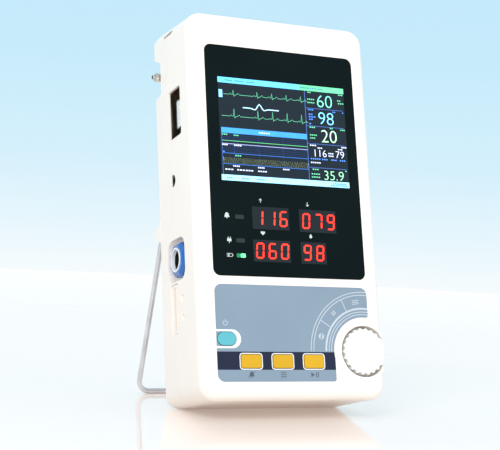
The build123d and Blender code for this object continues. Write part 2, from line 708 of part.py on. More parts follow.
def make_nodes():
    nodes = {
        "front_case": front_case(),
        "rear_case": rear_case(),
        "case_seal": seal_ring(SPLIT - 0.8, SPLIT),
        "case_screws": [screw(x, z, 1.5, SPLIT - 7, SEAT_Y, 2.7, 2.2) for x, z in SCREW_SPOTS],
        "battery_door": battery_door(),
        "door_screws": [screw(x, z, 1.0, D - WALL - 0.5, D - 1.1, 1.9, 0.9)
                        for x, z in door_screw_spots()],
        "display_window": display_window(),
        "lcd_gasket": lcd_gasket(),
        "lcd_panel": lcd_panel(),
        "lcd_backlight": lcd_backlight(),
        "lcd_frame": lcd_frame(),
        "led_board": led_board(),
        "keypad_overlay": keypad_overlay(),
        "key_board": key_board(),
        "key_switches": key_switches(),
        "knob": knob(),
        "encoder_shaft": encoder_shaft(),
        "encoder_plunger": encoder_plunger(),
        "encoder_body": encoder_body(),
        "encoder_nut": encoder_nut(),
        "dsub_shell": dsub_shell(),
        "dsub_insulator": dsub_insulator(),
        "temp_jack": temp_jack(),
        "ecg_housing": ecg_housing(),
        "ecg_sleeve": ecg_sleeve(),
        "ecg_liner": ecg_liner(),
        "ecg_insert": ecg_insert(),
        "ecg_nut": ecg_nut(),
        "card_socket": card_socket(),
        "dc_inlet": dc_inlet(),
        "top_cover": top_cover(),
        "main_board": main_board(),
        "board_screws": board_screws(),
        "board_spacers": board_spacers(),
        "battery_pack": battery_pack(),
        "battery_frame": battery_frame(),
        "nibp_nipple": nibp_nipple(),
        "hose": hose(),
        "pump_head": pump_head(),
        "pump_motor": pump_motor(),
        "air_valve": air_valve(),
        "pump_bracket": pump_bracket(),
        "speaker": speaker(),
        "stand": stand(),
        "stand_pins": stand_pins(),
    }
    nodes.update({name: led_display(name) for name in LED_BLOCKS})
    nodes.update({name: status_led(z) for name, z in STATUS_LEDS.items()})
    nodes.update({name: key(name) for name in ALL_KEYS})
    return nodes


def footprint_shift(leaned):
    """The move that puts the origin under the middle of the whole object's box."""
    boxes = [shape.bounding_box() for shape in leaned]
    low = [min(getattr(b.min, axis) for b in boxes) for axis in "XYZ"]
    high = [max(getattr(b.max, axis) for b in boxes) for axis in "XYZ"]
    return Pos(-(low[0] + high[0]) / 2, -(low[1] + high[1]) / 2, -low[2])


def place():
    """Every node as one compound of solids, leaned back and moved to the origin."""
    leaned = {}
    for name, shape in make_nodes().items():
        solids = []
        for piece in shape if isinstance(shape, list) else [shape]:
            solids += piece.solids()
        leaned[name] = Rot(X=-LEAN) * Compound(solids)
    shift = footprint_shift(leaned.values())
    return {name: shift * shape for name, shape in leaned.items()}, shift


def main():
    os.makedirs("parts", exist_ok=True)
    placed, shift = place()
    for name, shape in placed.items():
        export_step(shape, "parts/" + name + ".step")
    print("shift", shift.position)


if __name__ == "__main__":
    main()
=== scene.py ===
import json
import math

import bmesh
import bpy
from mathutils import Matrix, Vector


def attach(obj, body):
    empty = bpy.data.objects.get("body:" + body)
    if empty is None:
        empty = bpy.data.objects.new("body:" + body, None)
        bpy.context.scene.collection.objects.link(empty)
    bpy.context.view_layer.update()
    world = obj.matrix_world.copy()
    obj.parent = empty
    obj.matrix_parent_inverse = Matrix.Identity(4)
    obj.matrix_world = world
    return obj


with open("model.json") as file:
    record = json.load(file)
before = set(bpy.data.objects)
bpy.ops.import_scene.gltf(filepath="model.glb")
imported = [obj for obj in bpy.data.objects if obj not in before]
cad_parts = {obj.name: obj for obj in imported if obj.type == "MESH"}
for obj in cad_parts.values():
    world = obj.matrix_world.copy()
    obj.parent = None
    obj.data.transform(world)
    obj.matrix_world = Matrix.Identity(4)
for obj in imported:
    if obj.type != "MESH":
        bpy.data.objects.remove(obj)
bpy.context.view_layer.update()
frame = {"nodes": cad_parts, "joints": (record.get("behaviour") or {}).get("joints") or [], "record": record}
MM = 0.001

# ------------------------------------------------------------ the leaning frame
# The keys and the knob push straight into the front face, so their axis says how far
# the object leans. U runs to the right, V up the face and OUT away from it.

joints = {joint["name"]: joint for joint in frame["joints"]}
INWARD = Vector(joints["knob_push"]["axis"]).normalized()
U = Vector((1.0, 0.0, 0.0))
OUT = -INWARD
V = U.cross(INWARD).normalized()


def leaning_box(node):
    """A node's lowest and highest corners along U, V and OUT, in metres."""
    points = [v.co for v in frame["nodes"][node].data.vertices]
    spans = [[point.dot(axis) for point in points] for axis in (U, V, OUT)]
    return [min(s) for s in spans], [max(s) for s in spans]


def at(u, v, out=0.0):
    """A point given in metres along U, V and OUT."""
    return U * u + V * v + OUT * out


CASE_LOW, CASE_HIGH = leaning_box("front_case")
KNOB_LOW, KNOB_HIGH = leaning_box("knob")
FACE = CASE_HIGH[2]
BASE = CASE_LOW[1]
CENTRE_U = (CASE_LOW[0] + CASE_HIGH[0]) / 2


def face_point(x, z, lift=0.0):
    """Millimetres on the front face, from its middle line and the case's bottom."""
    return at(CENTRE_U + x * MM, BASE + z * MM, FACE + lift * MM)


# ------------------------------------------------------------ materials


def rgb(r, g, b):
    """A display colour, 0 to 255, as the linear colour that shaders use."""
    linear = []
    for level in (r, g, b):
        level = level / 255
        linear.append(level / 12.92 if level <= 0.04045 else ((level + 0.055) / 1.055) ** 2.4)
    return (*linear, 1.0)


def new_material(name):
    mat = bpy.data.materials.new(name)
    mat.use_nodes = True
    return mat, mat.node_tree, mat.node_tree.nodes["Principled BSDF"]


def texture(tree, kind, scale, detail=4.0):
    """A noise or voronoi texture in object space, so its grain has a real size."""
    coords = tree.nodes.new("ShaderNodeTexCoord")
    node = tree.nodes.new(kind)
    node.inputs["Scale"].default_value = scale
    if "Detail" in node.inputs:
        node.inputs["Detail"].default_value = detail
    tree.links.new(coords.outputs["Object"], node.inputs["Vector"])
    return node


def spread(tree, source, low, high):
    """Turns a 0 to 1 value into one between low and high."""
    node = tree.nodes.new("ShaderNodeMapRange")
    node.inputs["To Min"].default_value = low
    node.inputs["To Max"].default_value = high
    tree.links.new(source, node.inputs["Value"])
    return node.outputs["Result"]


def two_tone(tree, source, first, second):
    ramp = tree.nodes.new("ShaderNodeValToRGB")
    ramp.color_ramp.elements[0].position = 0.35
    ramp.color_ramp.elements[0].color = first
    ramp.color_ramp.elements[1].position = 0.65
    ramp.color_ramp.elements[1].color = second
    tree.links.new(source, ramp.inputs["Fac"])
    return ramp.outputs["Color"]


def add_bump(tree, shader, height, strength, distance):
    bump = tree.nodes.new("ShaderNodeBump")
    bump.inputs["Strength"].default_value = strength
    bump.inputs["Distance"].default_value = distance
    tree.links.new(height, bump.inputs["Height"])
    tree.links.new(bump.outputs["Normal"], shader.inputs["Normal"])


def plastic(name, colour, rough, grain=1800.0, strength=0.12, vary=0.04, coat=0.0):
    """Moulded plastic: fine spark texture, slight mottling and uneven gloss."""
    mat, tree, shader = new_material(name)
    cloud = texture(tree, "ShaderNodeTexNoise", 24.0)
    pale = [min(1.0, channel * (1 + vary)) for channel in colour[:3]]
    deep = [channel * (1 - vary) for channel in colour[:3]]
    tone = two_tone(tree, cloud.outputs["Fac"], (*deep, 1.0), (*pale, 1.0))
    tree.links.new(tone, shader.inputs["Base Color"])
    wear = texture(tree, "ShaderNodeTexNoise", 90.0, 8.0)
    gloss = spread(tree, wear.outputs["Fac"], max(0.02, rough - 0.07), rough + 0.07)
    tree.links.new(gloss, shader.inputs["Roughness"])
    spark = texture(tree, "ShaderNodeTexNoise", grain, 2.0)
    add_bump(tree, shader, spark.outputs["Fac"], strength, 0.00005)
    shader.inputs["Coat Weight"].default_value = coat
    shader.inputs["Coat Roughness"].default_value = 0.08
    return mat


def metal(name, colour, rough, brushed=0.0):
    """Metal with fine drawn lines and cloudy smudges."""
    mat, tree, shader = new_material(name)
    shader.inputs["Metallic"].default_value = 1.0
    cloud = texture(tree, "ShaderNodeTexNoise", 60.0)
    deep = [channel * 0.82 for channel in colour[:3]]
    tone = two_tone(tree, cloud.outputs["Fac"], (*deep, 1.0), colour)
    tree.links.new(tone, shader.inputs["Base Color"])
    smudge = texture(tree, "ShaderNodeTexNoise", 220.0, 8.0)
    gloss = spread(tree, smudge.outputs["Fac"], max(0.03, rough - 0.06), rough + 0.1)
    tree.links.new(gloss, shader.inputs["Roughness"])
    lines = texture(tree, "ShaderNodeTexNoise", 900.0, 2.0)
    add_bump(tree, shader, lines.outputs["Fac"], 0.05 + brushed, 0.00003)
    return mat


def glow(name, colour, power):
    """A lit surface; its brightness varies slightly, as over a real lamp or pixel row."""
    mat, tree, shader = new_material(name)
    shader.inputs["Roughness"].default_value = 0.25
    shader.inputs["Base Color"].default_value = colour
    haze = texture(tree, "ShaderNodeTexNoise", 400.0, 2.0)
    deep = [channel * 0.8 for channel in colour[:3]]
    tone = two_tone(tree, haze.outputs["Fac"], (*deep, 1.0), colour)
    tree.links.new(tone, shader.inputs["Emission Color"])
    shader.inputs["Emission Strength"].default_value = power
    return mat


def tinted_glass():
    """The dark tinted window: almost black, mirror smooth, with faint dust."""
    mat, tree, shader = new_material("tinted_window")
    cloud = texture(tree, "ShaderNodeTexNoise", 18.0)
    tone = two_tone(tree, cloud.outputs["Fac"], rgb(5, 13, 14), rgb(9, 18, 18))
    tree.links.new(tone, shader.inputs["Base Color"])
    dust = texture(tree, "ShaderNodeTexNoise", 700.0, 6.0)
    tree.links.new(spread(tree, dust.outputs["Fac"], 0.08, 0.17), shader.inputs["Roughness"])
    shader.inputs["Specular IOR Level"].default_value = 0.12
    add_bump(tree, shader, dust.outputs["Fac"], 0.02, 0.00002)
    return mat


def circuit_board():
    """Green solder mask with a faint pattern of copper tracks under it."""
    mat, tree, shader = new_material("circuit_board")
    tracks = texture(tree, "ShaderNodeTexVoronoi", 320.0)
    tone = two_tone(tree, tracks.outputs["Distance"], rgb(10, 70, 38), rgb(22, 104, 58))
    tree.links.new(tone, shader.inputs["Base Color"])
    shader.inputs["Roughness"].default_value = 0.35
    add_bump(tree, shader, tracks.outputs["Distance"], 0.2, 0.00004)
    return mat


WHITE = rgb(245, 236, 228)
MATERIALS = {
    "case": plastic("case_white", WHITE, 0.34, 1500.0, 0.14, 0.012, 0.12),
    "window": tinted_glass(),
    "overlay": plastic("keypad_film", rgb(131, 148, 165), 0.42, 2600.0, 0.22, 0.03),
    "yellow_key": plastic("key_yellow", rgb(212, 162, 0), 0.4, 2200.0, 0.12, 0.05),
    "cyan_key": plastic("key_cyan", rgb(92, 178, 190), 0.4, 2200.0, 0.12, 0.04),
    "knob_white": plastic("knob_white", rgb(243, 242, 240), 0.3, 1300.0, 0.1, 0.01, 0.15),
    "blue_plastic": plastic("socket_blue", rgb(0, 98, 180), 0.22, 900.0, 0.08, 0.06, 0.6),
    "white_plastic": plastic("socket_white", rgb(232, 236, 240), 0.3, 1500.0, 0.08, 0.02, 0.2),
    "black_plastic": plastic("black_plastic", rgb(28, 27, 28), 0.45, 1500.0, 0.15, 0.15),
    "dark_rubber": plastic("dark_rubber", rgb(30, 30, 32), 0.7, 900.0, 0.25, 0.1),
    "light_rubber": plastic("light_rubber", rgb(232, 231, 226), 0.55, 900.0, 0.25, 0.02),
    "hose_rubber": plastic("hose_rubber", rgb(176, 184, 180), 0.4, 700.0, 0.1, 0.05),
    "chrome": metal("chrome", rgb(226, 222, 216), 0.08),
    "steel": metal("stand_steel", rgb(228, 230, 234), 0.2, 0.05),
    # The plated tin is darkened and browned with painted shade, standing in for the shade inside the
    # connector's recess.
    "tin": metal("plated_tin_painted_shade", rgb(156, 144, 130), 0.3, 0.08),
    "lcd_glass": plastic("lcd_glass", rgb(20, 24, 30), 0.12, 600.0, 0.02, 0.05),
    "lcd_white": plastic("lcd_diffuser", rgb(225, 226, 228), 0.5),
    "led_red": plastic("led_block", rgb(70, 18, 14), 0.3),
    "led_green": glow("led_green_body", rgb(70, 220, 110), 1.0),
    "led_clear": plastic("led_clear", rgb(60, 60, 54), 0.25),
    "board_green": circuit_board(),
    "battery_wrap": plastic("battery_wrap", rgb(40, 56, 92), 0.4),
    "motor_can": metal("motor_can", rgb(168, 168, 170), 0.32, 0.08),
}

slot_of = {entry["node"]: entry["material_slot"] for entry in frame["record"]["subparts"]}
for node_name, node in frame["nodes"].items():
    mat = MATERIALS[slot_of[node_name]]
    node.data.materials.clear()
    node.data.materials.append(mat)


# ------------------------------------------------------------ printed and lit pieces

INK = {
    "arc": plastic("ink_arc", rgb(196, 204, 212), 0.45, 2600.0, 0.1, 0.02),
    "white": plastic("ink_white", rgb(238, 240, 242), 0.45, 2600.0, 0.1, 0.02),
    "navy": plastic("ink_navy", rgb(20, 21, 50), 0.42, 2600.0, 0.18, 0.06),
    "grey": plastic("ink_grey", rgb(84, 92, 108), 0.45, 2600.0, 0.1, 0.04),
}


def prism(name, outlines, low, high, mat):
    """Thin closed prisms standing on the front face, one for each outline in mm."""
    mesh = bpy.data.meshes.new(name)
    bm = bmesh.new()
    for outline in outlines:
        top = [bm.verts.new(face_point(x, z, high)) for x, z in outline]
        under = [bm.verts.new(face_point(x, z, low)) for x, z in outline]
        bm.faces.new(top)
        bm.faces.new(list(reversed(under)))
        count = len(outline)
        for i in range(count):
            j = (i + 1) % count
            bm.faces.new((top[j], top[i], under[i], under[j]))
    bmesh.ops.recalc_face_normals(bm, faces=bm.faces)
    bm.to_mesh(mesh)
    bm.free()
    mesh.materials.append(mat)
    piece = bpy.data.objects.new(name, mesh)
    bpy.context.scene.collection.objects.link(piece)
    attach(piece, "monitor")
    return piece


def rect(x0, x1, z0, z1):
    return [(x0, z0), (x1, z0), (x1, z1), (x0, z1)]


def arc_points(cx, cz, r, start, end, steps=24):
    """Points along an arc, from one angle to another in degrees."""
    points = []
    for i in range(steps + 1):
        a = math.radians(start + (end - start) * i / steps)
        points.append((cx + r * math.cos(a), cz + r * math.sin(a)))
    return points


def round_rect(x0, x1, z0, z1, r):
    """A rectangle with round corners, as an outline."""
    corners = [(x1 - r, z0 + r, -90), (x1 - r, z1 - r, 0),
               (x0 + r, z1 - r, 90), (x0 + r, z0 + r, 180)]
    outline = []
    for cx, cz, start in corners:
        outline += arc_points(cx, cz, r, start, start + 90, 6)
    return outline


def band(points, width, closed=False):
    """A line of the given width along points, as one quad for each stretch."""
    count = len(points)
    sides = []
    for i, (x, z) in enumerate(points):
        before = points[(i - 1) % count] if closed or i > 0 else points[i]
        after = points[(i + 1) % count] if closed or i < count - 1 else points[i]
        dx, dz = after[0] - before[0], after[1] - before[1]
        length = math.hypot(dx, dz) or 1.0
        nx, nz = -dz / length * width / 2, dx / length * width / 2
        sides.append(((x + nx, z + nz), (x - nx, z - nz)))
    quads = []
    for i in range(count if closed else count - 1):
        a, b = sides[i], sides[(i + 1) % count]
        quads.append([a[1], b[1], b[0], a[0]])
    return quads


def numerals(name, text, x, z, height, mat, lift):
    """Numbers in the built-in typeface, as a thin mesh, with their lower left at x, z."""
    curve = bpy.data.curves.new(name + "_type", "FONT")
    curve.body = text
    curve.size = 1.0
    curve.extrude = 0.01
    curve.offset = -0.015
    carrier = bpy.data.objects.new(name + "_type", curve)
    bpy.context.scene.collection.objects.link(carrier)
    bpy.context.view_layer.update()
    mesh = bpy.data.meshes.new_from_object(carrier)
    bpy.data.objects.remove(carrier)
    tall = max(v.co.y for v in mesh.vertices) - min(v.co.y for v in mesh.vertices)
    left = min(v.co.x for v in mesh.vertices)
    low = min(v.co.y for v in mesh.vertices)
    grow = height / tall
    for v in mesh.vertices:
        v.co = face_point(x + (v.co.x - left) * grow, z + (v.co.y - low) * grow,
                          lift + (0.02 if v.co.z > 0 else 0.0))
    mesh.materials.clear()
    mesh.materials.append(mat)
    piece = bpy.data.objects.new(name, mesh)
    bpy.context.scene.collection.objects.link(piece)
    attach(piece, "monitor")
    return piece


# ------------------------------------------------------------ colour screen

LCD_W, LCD_H, LCD_X, LCD_Z = 76.8, 57.6, 0.5, 145.0
SCREEN_LIFT = 0.03


def screen(s, t):
    """A point of the picture, from 0, 0 at its lower left to 1, 1 at its upper right."""
    return LCD_X + (s - 0.5) * LCD_W, LCD_Z + (t - 0.5) * LCD_H


def screen_rect(s0, s1, t0, t1):
    x0, z0 = screen(s0, t0)
    x1, z1 = screen(s1, t1)
    return rect(x0, x1, z0, z1)


def lit(name, outlines, colour, power, level=1):
    low = SCREEN_LIFT + 0.02 * (level - 1)
    mat = glow(name + "_light", colour, power)
    return prism(name, outlines, low, low + 0.02, mat)


def dashes(places, height=0.012):
    """Rows of short bars that stand for the picture's small lettering."""
    bars = []
    for s, t, count, width in places:
        for i in range(count):
            gap = width * 1.5
            bars.append(screen_rect(s + i * gap, s + i * gap + width, t, t + height))
    return bars


def heart_beat(start, t, spikes, tall, end):
    """A heart trace: a level line with small waves round each tall spike."""
    points = [(start, t)]
    for s in spikes:
        points += [(s - 0.030, t), (s - 0.022, t + 0.012), (s - 0.014, t), (s - 0.006, t)]
        points += [(s, t + tall), (s + 0.005, t - 0.018), (s + 0.012, t - 0.004)]
        points += [(s + 0.026, t), (s + 0.038, t + 0.016), (s + 0.050, t)]
    points.append((end, t))
    return [screen(*point) for point in points]


def build_screen():
    lit("screen_ground", [screen_rect(0, 1, 0, 1)], rgb(10, 17, 27), 0.5, 0)
    lit("screen_header", [screen_rect(0, 0.635, 0.945, 1)], rgb(94, 190, 246), 1.05)
    lit("screen_header_green", [screen_rect(0.635, 1, 0.945, 1)], rgb(104, 206, 150), 0.75)
    lit("screen_footer", [screen_rect(0, 1, 0, 0.055)], rgb(150, 212, 250), 1.05)
    lit("screen_scale", [screen_rect(0.005, 0.032, 0.80, 0.875)], rgb(140, 212, 245), 1.0)
    lit("screen_title", [screen_rect(0.012, 0.68, 0.455, 0.508)], rgb(58, 140, 220), 1.0)
    columns = [band([screen(0.68, 0.055), screen(0.68, 0.945)], 0.35)]
    rows = [band([screen(0.68, t), screen(0.985, t)], 0.3)
            for t in (0.771, 0.594, 0.417, 0.182)]
    frame_left = [band([screen(0.014, 0.055), screen(0.014, 0.455)], 0.25)]
    lit("screen_rules", sum(columns + rows + frame_left, []), rgb(66, 96, 168), 0.85)
    grid = [band([screen(0.014, t), screen(0.68, t)], 0.12)
            for t in (0.437, 0.418, 0.400, 0.335, 0.317, 0.299, 0.281)]
    grid += [band([screen(s, 0.16), screen(s, 0.455)], 0.16) for s in (0.105, 0.295, 0.485)]
    lit("screen_grid", sum(grid, []), rgb(24, 56, 124), 0.8)
    blue = [band([screen(0.014, t), screen(0.68, t)], 0.3) for t in (0.262, 0.158)]
    lit("screen_trend_blue", sum(blue, []), rgb(52, 104, 190), 0.95, 2)
    lit("screen_trend_green", band([screen(0.014, 0.382), screen(0.68, 0.382)], 0.35),
        rgb(84, 176, 120), 0.95, 2)
    lit("screen_trend_pale", band([screen(0.014, 0.352), screen(0.68, 0.352)], 0.35),
        rgb(150, 160, 214), 0.95, 2)
    beats = (0.115, 0.30, 0.415, 0.53, 0.645)
    first = heart_beat(0.04, 0.835, beats, 0.045, 0.68)
    second = heart_beat(0.02, 0.622, beats, 0.075, 0.68)
    lit("screen_traces", band(first, 0.24) + band(second, 0.24), rgb(88, 176, 138), 1.0, 2)
    steps = 92
    zigzag = [screen(0.018 + 0.66 * i / steps, 0.165 if i % 2 else 0.222)
              for i in range(steps + 1)]
    lit("screen_breath", band(zigzag, 0.15), rgb(182, 196, 132), 0.85, 2)
    header = [(0.055, 0.966, 4, 0.010), (0.13, 0.966, 5, 0.010), (0.225, 0.966, 4, 0.010),
              (0.645, 0.966, 6, 0.009), (0.73, 0.966, 4, 0.009), (0.79, 0.966, 3, 0.009)]
    footer = [(0.04, 0.02, 3, 0.010), (0.15, 0.02, 5, 0.009), (0.27, 0.02, 4, 0.010),
              (0.87, 0.028, 8, 0.009), (0.85, 0.010, 10, 0.009)]
    lit("screen_small_dark", dashes(header + footer), rgb(38, 96, 150), 0.7, 2)
    pale = [(0.03, 0.100, 3, 0.015), (0.12, 0.100, 3, 0.014), (0.185, 0.100, 3, 0.014),
            (0.28, 0.100, 4, 0.012), (0.30, 0.475, 5, 0.012), (0.09, 0.135, 4, 0.009),
            (0.28, 0.135, 4, 0.009), (0.475, 0.135, 4, 0.009), (0.105, 0.335, 4, 0.010),
            (0.015, 0.335, 3, 0.010), (0.70, 0.395, 3, 0.012), (0.955, 0.395, 3, 0.010),
            (0.76, 0.372, 3, 0.009), (0.925, 0.372, 3, 0.009), (0.845, 0.325, 3, 0.010),
            (0.845, 0.300, 3, 0.010), (0.70, 0.225, 5, 0.011)]
    lit("screen_small_pale", dashes(pale), rgb(206, 214, 244), 1.0, 2)
    green = [(0.015, 0.435, 3, 0.010), (0.105, 0.432, 3, 0.009), (0.705, 0.925, 2, 0.010),
             (0.955, 0.925, 3, 0.009), (0.70, 0.855, 4, 0.010), (0.70, 0.822, 4, 0.010),
             (0.945, 0.865, 2, 0.010), (0.95, 0.838, 3, 0.011), (0.705, 0.575, 3, 0.011),
             (0.705, 0.498, 4, 0.010), (0.705, 0.468, 3, 0.010), (0.87, 0.578, 2, 0.009),
             (0.955, 0.570, 3, 0.009), (0.11, 0.236, 3, 0.011), (0.71, 0.158, 3, 0.012),
             (0.70, 0.112, 4, 0.012), (0.70, 0.082, 4, 0.012), (0.975, 0.160, 1, 0.010)]
    lit("screen_small_green", dashes(green), rgb(96, 196, 150), 0.95, 2)
    blue_marks = [(0.70, 0.750, 3, 0.011), (0.90, 0.745, 2, 0.009), (0.98, 0.745, 1, 0.008),
                  (0.705, 0.705, 2, 0.012), (0.705, 0.680, 3, 0.013), (0.705, 0.655, 2, 0.012),
                  (0.70, 0.262, 5, 0.011), (0.79, 0.262, 3, 0.011), (0.865, 0.262, 3, 0.011),
                  (0.935, 0.262, 3, 0.011), (0.705, 0.610, 1, 0.014), (0.018, 0.268, 1, 0.012)]
    lit("screen_small_blue", dashes(blue_marks), rgb(72, 132, 236), 1.05, 2)
    readings = [("60", 0.778, 0.790, 7.0, rgb(116, 222, 190)),
                ("98", 0.782, 0.618, 7.0, rgb(120, 204, 250)),
                ("20", 0.798, 0.440, 7.0, rgb(184, 238, 190)),
                ("116", 0.735, 0.292, 3.9, rgb(214, 220, 248)),
                ("79", 0.905, 0.292, 3.9, rgb(214, 220, 248)),
                ("35.9", 0.800, 0.068, 5.1, rgb(150, 232, 178))]
    for text, s, t, height, colour in readings:
        x, z = screen(s, t)
        name = "reading_" + text.replace(".", "_")
        numerals(name, text, x, z, height, glow(name + "_light", colour, 1.15),
                 SCREEN_LIFT + 0.04)
    # A plain pulse line fills the middle of the heart traces.
    x0, z0 = screen(0.185, 0.715)
    pulse = []
    for i in range(25):
        step = i - 11
        swell = math.exp(-(step / 3.2) ** 2)
        pulse.append((x0 + 0.9 * i, z0 + 2.6 * swell * math.cos(step * 0.75)))
    lit("screen_pulse", band(pulse, 0.55), rgb(176, 224, 250), 1.1, 2)


build_screen()

# ------------------------------------------------------------ red numbers

SEGMENTS = {
    "0": "abcdef", "1": "bc", "2": "abged", "3": "abgcd", "4": "fgbc",
    "5": "afgcd", "6": "afgedc", "7": "abc", "8": "abcdefg", "9": "abcdfg",
}
DIGIT_W, DIGIT_H, STROKE, SLANT, SHRINK = 3.8, 7.8, 0.82, 0.07, 0.16


def segment(letter, x, z):
    """One bar of a digit, with pointed ends, leaning slightly to the right."""
    w, h, b, gap = DIGIT_W, DIGIT_H, STROKE / 2, SHRINK
    ends = {
        "a": ((0, h), (w, h)), "b": ((w, h), (w, h / 2)), "c": ((w, h / 2), (w, 0)),
        "d": ((0, 0), (w, 0)), "e": ((0, 0), (0, h / 2)), "f": ((0, h / 2), (0, h)),
        "g": ((0, h / 2), (w, h / 2)),
    }
    (ax, az), (bx, bz) = ends[letter]
    length = math.hypot(bx - ax, bz - az)
    dx, dz = (bx - ax) / length, (bz - az) / length
    start, stop = gap, length - gap
    profile = [(start, 0), (start + b, b), (stop - b, b),
               (stop, 0), (stop - b, -b), (start + b, -b)]
    outline = []
    for along, side in profile:
        px = ax + dx * along - dz * side
        pz = az + dz * along + dx * side
        outline.append((x + px + pz * SLANT, z + pz))
    return outline


def led_number(name, node, text, first_x, base_z, pitch):
    bars = []
    for i, digit in enumerate(text):
        for letter in SEGMENTS[digit]:
            bars.append(segment(letter, first_x + i * pitch, base_z))
    prism(name, bars, 0.03, 0.06, RED)
    low, high = leaning_box(node)
    x0, x1 = (low[0] - CENTRE_U) / MM - 0.5, (high[0] - CENTRE_U) / MM + 0.5
    z0, z1 = (low[1] - BASE) / MM - 0.5, (high[1] - BASE) / MM + 0.5
    prism(name + "_pane", [rect(x0, x1, z0, z1)], 0.0, 0.02, RED_PANE)


RED = glow("digit_red", rgb(255, 40, 22), 3.2)
RED_PANE = plastic("led_pane", rgb(17, 17, 18), 0.2, 900.0, 0.03, 0.1)
led_number("digits_sys", "led_display_sys", "116", -19.4, 92.7, 7.2)
led_number("digits_dia", "led_display_dia", "079", 8.6, 92.3, 7.5)
led_number("digits_hr", "led_display_hr", "060", -19.7, 74.9, 7.3)
led_number("digits_spo2", "led_display_spo2", "98", 8.4, 74.8, 7.6)

GREEN = glow("lamp_green", rgb(90, 240, 130), 2.2)
GREEN_DIM = glow("lamp_green_dim", rgb(24, 120, 70), 0.6)
prism("battery_lamp", [round_rect(-29.0, -26.2, 74.7, 76.8, 0.5)], 0.0, 0.04, GREEN)
prism("battery_lamp_dim", [round_rect(-31.3, -29.1, 74.7, 76.8, 0.5)], 0.0, 0.03, GREEN_DIM)
DARK_LAMP = plastic("lamp_off", rgb(34, 42, 40), 0.2, 900.0, 0.03, 0.1)
for lamp_name, lamp_z in (("alarm", 96.6), ("mains", 83.8)):
    prism(lamp_name + "_lamp", [round_rect(-31.2, -26.2, lamp_z - 1.1, lamp_z + 1.1, 0.5)],
          0.0, 0.03, DARK_LAMP)


# ------------------------------------------------------------ printed signs

PRINT = plastic("window_print", rgb(206, 212, 210), 0.4, 2600.0, 0.08, 0.02)


def ring(cx, cz, r, width, start=0, end=360):
    return band(arc_points(cx, cz, r, start, end), width)


def bell_sign(x, z):
    dome = [(x - 1.5, z), (x - 1.1, z + 1.2)] + arc_points(x, z + 1.5, 1.0, 170, 10, 8)
    clapper = rect(x - 0.4, x + 0.4, z - 0.6, z - 0.15)
    return [dome + [(x + 1.1, z + 1.2), (x + 1.5, z)], clapper]


def plug_sign(x, z):
    return [rect(x - 1.2, x + 1.2, z, z + 1.4), rect(x - 0.8, x - 0.4, z + 1.4, z + 2.4),
            rect(x + 0.4, x + 0.8, z + 1.4, z + 2.4), rect(x - 0.2, x + 0.2, z - 0.9, z)]


def cell_sign(x, z):
    box_line = band(rect(x - 1.6, x + 1.4, z, z + 1.6), 0.3, True)
    cap = rect(x + 1.5, x + 1.9, z + 0.5, z + 1.1)
    charge = rect(x - 1.2, x - 0.2, z + 0.4, z + 1.2)
    return box_line + [cap, charge]


def arrow_sign(x, z, up):
    tip, tail = (z + 2.2, z) if up else (z, z + 2.2)
    wing = tip - 0.9 if up else tip + 0.9
    shaft = band([(x, tail), (x, tip)], 0.35)
    return shaft + band([(x - 0.8, wing), (x, tip), (x + 0.8, wing)], 0.35)


def heart_sign(x, z):
    left = arc_points(x - 0.62, z + 1.5, 0.68, 200, 20, 8)
    right = arc_points(x + 0.62, z + 1.5, 0.68, 160, -20, 8)
    return [[(x, z)] + left + right]


def drop_sign(x, z):
    return [[(x, z + 2.4)] + arc_points(x, z + 0.8, 0.85, 150, 390, 14)]


window_signs = bell_sign(-36.0, 96.2) + plug_sign(-35.2, 83.2) + cell_sign(-35.2, 75.0)
window_signs += arrow_sign(-16.0, 105.0, True) + arrow_sign(12.0, 104.4, False)
window_signs += heart_sign(-15.5, 87.2) + drop_sign(13.0, 86.8)
prism("window_signs", window_signs, 0.0, 0.04, PRINT)


# ------------------------------------------------------------ keypad printing

KNOB_X = ((KNOB_LOW[0] + KNOB_HIGH[0]) / 2 - CENTRE_U) / MM
KNOB_Z = ((KNOB_LOW[1] + KNOB_HIGH[1]) / 2 - BASE) / MM
LEFT, RIGHT, STRIP_END = -45.0, 45.0, 23.5
RING_R = 18.4
STRIP_LOW, STRIP_HIGH = 15.7, 25.1
KEY_XS = (-25.9, -7.7, 10.5)
KEY_Z = 20.1


def strip_pieces():
    """The navy strip, broken up round the three keys so that they can move."""
    half_w, half_h = 6.25, 4.05
    spans = []
    edge = LEFT
    for key_x in KEY_XS:
        spans.append(rect(edge, key_x - half_w, STRIP_LOW, STRIP_HIGH))
        spans.append(rect(key_x - half_w, key_x + half_w, STRIP_LOW, KEY_Z - half_h))
        spans.append(rect(key_x - half_w, key_x + half_w, KEY_Z + half_h, STRIP_HIGH))
        edge = key_x + half_w
    low_cut = KNOB_X - math.sqrt(RING_R ** 2 - (KNOB_Z - STRIP_HIGH) ** 2)
    last = [(edge, STRIP_LOW), (STRIP_END, STRIP_LOW)]
    corner_z = KNOB_Z - math.sqrt(RING_R ** 2 - (KNOB_X - STRIP_END) ** 2)
    start = math.degrees(math.atan2(corner_z - KNOB_Z, STRIP_END - KNOB_X))
    stop = math.degrees(math.atan2(STRIP_HIGH - KNOB_Z, low_cut - KNOB_X))
    last += arc_points(KNOB_X, KNOB_Z, RING_R + 0.05, start, stop, 6)
    last.append((edge, STRIP_HIGH))
    return spans + [last]


prism("navy_strip", strip_pieces(), 0.0, 0.03, INK["navy"])


def full_arc(r, width):
    """An arc round the knob, from the strip's top to the sheet's right edge."""
    start = math.degrees(math.acos((RIGHT - 0.1 - KNOB_X) / r))
    return band(arc_points(KNOB_X, KNOB_Z, r, start, 180, 40), width)


def spoke(angle, r0, r1, width):
    a = math.radians(angle)
    ends = [(KNOB_X + r * math.cos(a), KNOB_Z + r * math.sin(a)) for r in (r0, r1)]
    return band(ends, width)


